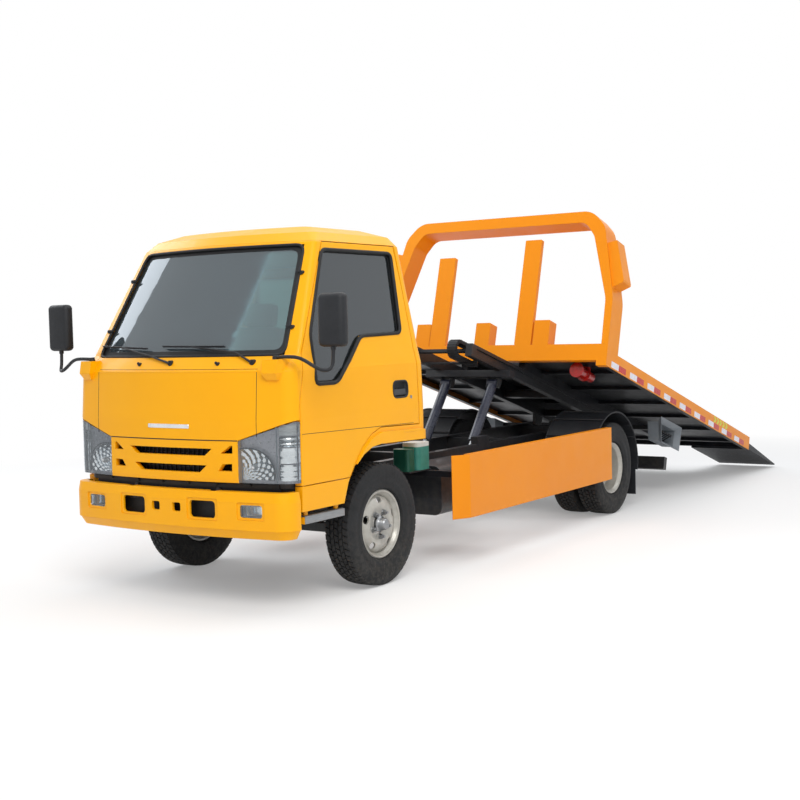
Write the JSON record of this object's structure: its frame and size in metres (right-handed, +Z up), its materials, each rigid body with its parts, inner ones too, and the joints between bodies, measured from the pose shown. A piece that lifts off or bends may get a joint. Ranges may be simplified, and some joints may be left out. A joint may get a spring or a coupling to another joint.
{
  "type": "slide-bed tow truck",
  "caption": "Light cab-over tow truck with a sliding, tilting flat bed, a hooped headboard, lift rams, twin rear wheels, opening doors and a tipping cab.",
  "frame": {"origin": "on the road, below the centre of the whole truck's box, with the bed slid back and tipped", "axes": "+X to the truck's left, +Y to its rear, +Z up"},
  "size_m": [2.378, 8.3011, 2.5451],
  "materials": {
    "cab_yellow": "gloss",
    "bed_orange": "gloss",
    "chassis_black": "satin",
    "black_plastic": "matte",
    "tyre": "matte",
    "wheel_silver": "satin",
    "window_glass": "clear",
    "lamp_clear": "clear",
    "seat_fabric": "woven",
    "trim_grey": "matte",
    "ram_steel": "satin",
    "bottle_white": "translucent",
    "winch_red": "gloss",
    "dark_metal": "satin"
  },
  "bodies": {
    "chassis": {"chassis_frame": "chassis_black", "front_bumper": "cab_yellow", "fog_lamps": "lamp_clear", "front_axle": "chassis_black", "rear_axle": "chassis_black", "leaf_springs": "chassis_black", "drive_shaft": "dark_metal", "engine_block": "dark_metal", "radiator": "chassis_black", "fuel_tank": "dark_metal", "battery_box": "chassis_black", "coolant_bottles": "bottle_white", "muffler": "dark_metal", "side_guards": "bed_orange", "rear_fenders": "black_plastic"},
    "cab": {"cab_roof": "cab_yellow", "cab_back_wall": "cab_yellow", "cab_side_frames": "cab_yellow", "cab_front_panel": "cab_yellow", "headlamps": "lamp_clear", "grille": "cab_yellow", "cab_glass": "window_glass", "cab_floor": "trim_grey", "seats": "seat_fabric", "dashboard": "trim_grey", "mirrors": "black_plastic"},
    "steering_wheel": {"steering_wheel": "black_plastic"},
    "door_left": {"door_left": "cab_yellow", "door_glass_left": "window_glass"},
    "door_right": {"door_right": "cab_yellow", "door_glass_right": "window_glass"},
    "knuckle_left": {"knuckle_left": "chassis_black"},
    "knuckle_right": {"knuckle_right": "chassis_black"},
    "front_wheel_left": {"front_tyre_left": "tyre", "front_rim_left": "wheel_silver"},
    "front_wheel_right": {"front_tyre_right": "tyre", "front_rim_right": "wheel_silver"},
    "rear_wheels_left": {"rear_tyres_left": "tyre", "rear_rims_left": "wheel_silver"},
    "rear_wheels_right": {"rear_tyres_right": "tyre", "rear_rims_right": "wheel_silver"},
    "tilt_frame": {"tilt_frame": "chassis_black", "lever_boxes": "trim_grey", "hose_chain": "black_plastic"},
    "ram_barrels": {"ram_barrels": "ram_steel"},
    "ram_rods": {"ram_rods": "ram_steel"},
    "bed": {"bed_deck": "bed_orange", "bed_front_beam": "bed_orange", "bed_hoop": "bed_orange", "winch": "winch_red", "tail_flaps": "dark_metal"}
  },
  "joints": [
    {"name": "cab_tilt", "type": "hinge", "parent": "chassis", "child": "cab", "pos_m": [0, -4.0529, 0.64], "axis": [1, 0, 0], "range_deg": [0, 40]},
    {"name": "door_left_swing", "type": "hinge", "parent": "cab", "child": "door_left", "pos_m": [0.858, -3.9229, 1.3], "axis": [0, 0, -1], "range_deg": [0, 60]},
    {"name": "door_right_swing", "type": "hinge", "parent": "cab", "child": "door_right", "pos_m": [-0.858, -3.9229, 1.3], "axis": [0, 0, 1], "range_deg": [0, 60]},
    {"name": "steer_left", "type": "hinge", "parent": "chassis", "child": "knuckle_left", "pos_m": [0.618, -3.0929, 0.388], "axis": [0, 0, 1], "range_deg": [-32, 32]},
    {"name": "steer_right", "type": "hinge", "parent": "chassis", "child": "knuckle_right", "pos_m": [-0.618, -3.0929, 0.388], "axis": [0, 0, 1], "range_deg": [-32, 32]},
    {"name": "steering_wheel_turn", "type": "hinge", "parent": "cab", "child": "steering_wheel", "pos_m": [0.38, -3.5079, 1.335], "axis": [0, 0.6157, 0.788], "range_deg": [-480, 480]},
    {"name": "front_wheel_left_spin", "type": "hinge", "parent": "knuckle_left", "child": "front_wheel_left", "pos_m": [0.752, -3.0929, 0.388], "axis": [1, 0, 0], "continuous": true},
    {"name": "front_wheel_right_spin", "type": "hinge", "parent": "knuckle_right", "child": "front_wheel_right", "pos_m": [-0.752, -3.0929, 0.388], "axis": [1, 0, 0], "continuous": true},
    {"name": "rear_wheels_left_spin", "type": "hinge", "parent": "chassis", "child": "rear_wheels_left", "pos_m": [0.7125, 0.2671, 0.388], "axis": [1, 0, 0], "continuous": true},
    {"name": "rear_wheels_right_spin", "type": "hinge", "parent": "chassis", "child": "rear_wheels_right", "pos_m": [-0.7125, 0.2671, 0.388], "axis": [1, 0, 0], "continuous": true},
    {"name": "bed_tilt", "type": "hinge", "parent": "chassis", "child": "tilt_frame", "pos_m": [0, 1.1571, 0.62], "axis": [1, 0, 0], "range_deg": [0, 15.89]},
    {"name": "bed_slide", "type": "slide", "parent": "tilt_frame", "child": "bed", "axis": [0, -0.9618, 0.2738], "range_m": [0, 2.1488]},
    {"name": "ram_barrel_swing", "type": "hinge", "parent": "tilt_frame", "child": "ram_barrels", "pos_m": [0, -0.54791, 1.14279], "axis": [1, 0, 0], "range_deg": [-38.96, 0]},
    {"name": "ram_rod_slide", "type": "slide", "parent": "ram_barrels", "child": "ram_rods", "axis": [0, -0.6197, -0.7848], "range_m": [-0.3906, 0]}
  ],
  "couplings": [
    {"joint": "steer_right", "follows": "steer_left", "ratio": 1},
    {"joint": "steering_wheel_turn", "follows": "steer_left", "ratio": 15},
    {"joint": "ram_barrel_swing", "follows": "bed_tilt", "ratio": -2.4038},
    {"joint": "ram_rod_slide", "follows": "bed_tilt", "m_per_rad": -1.3809}
  ]
}
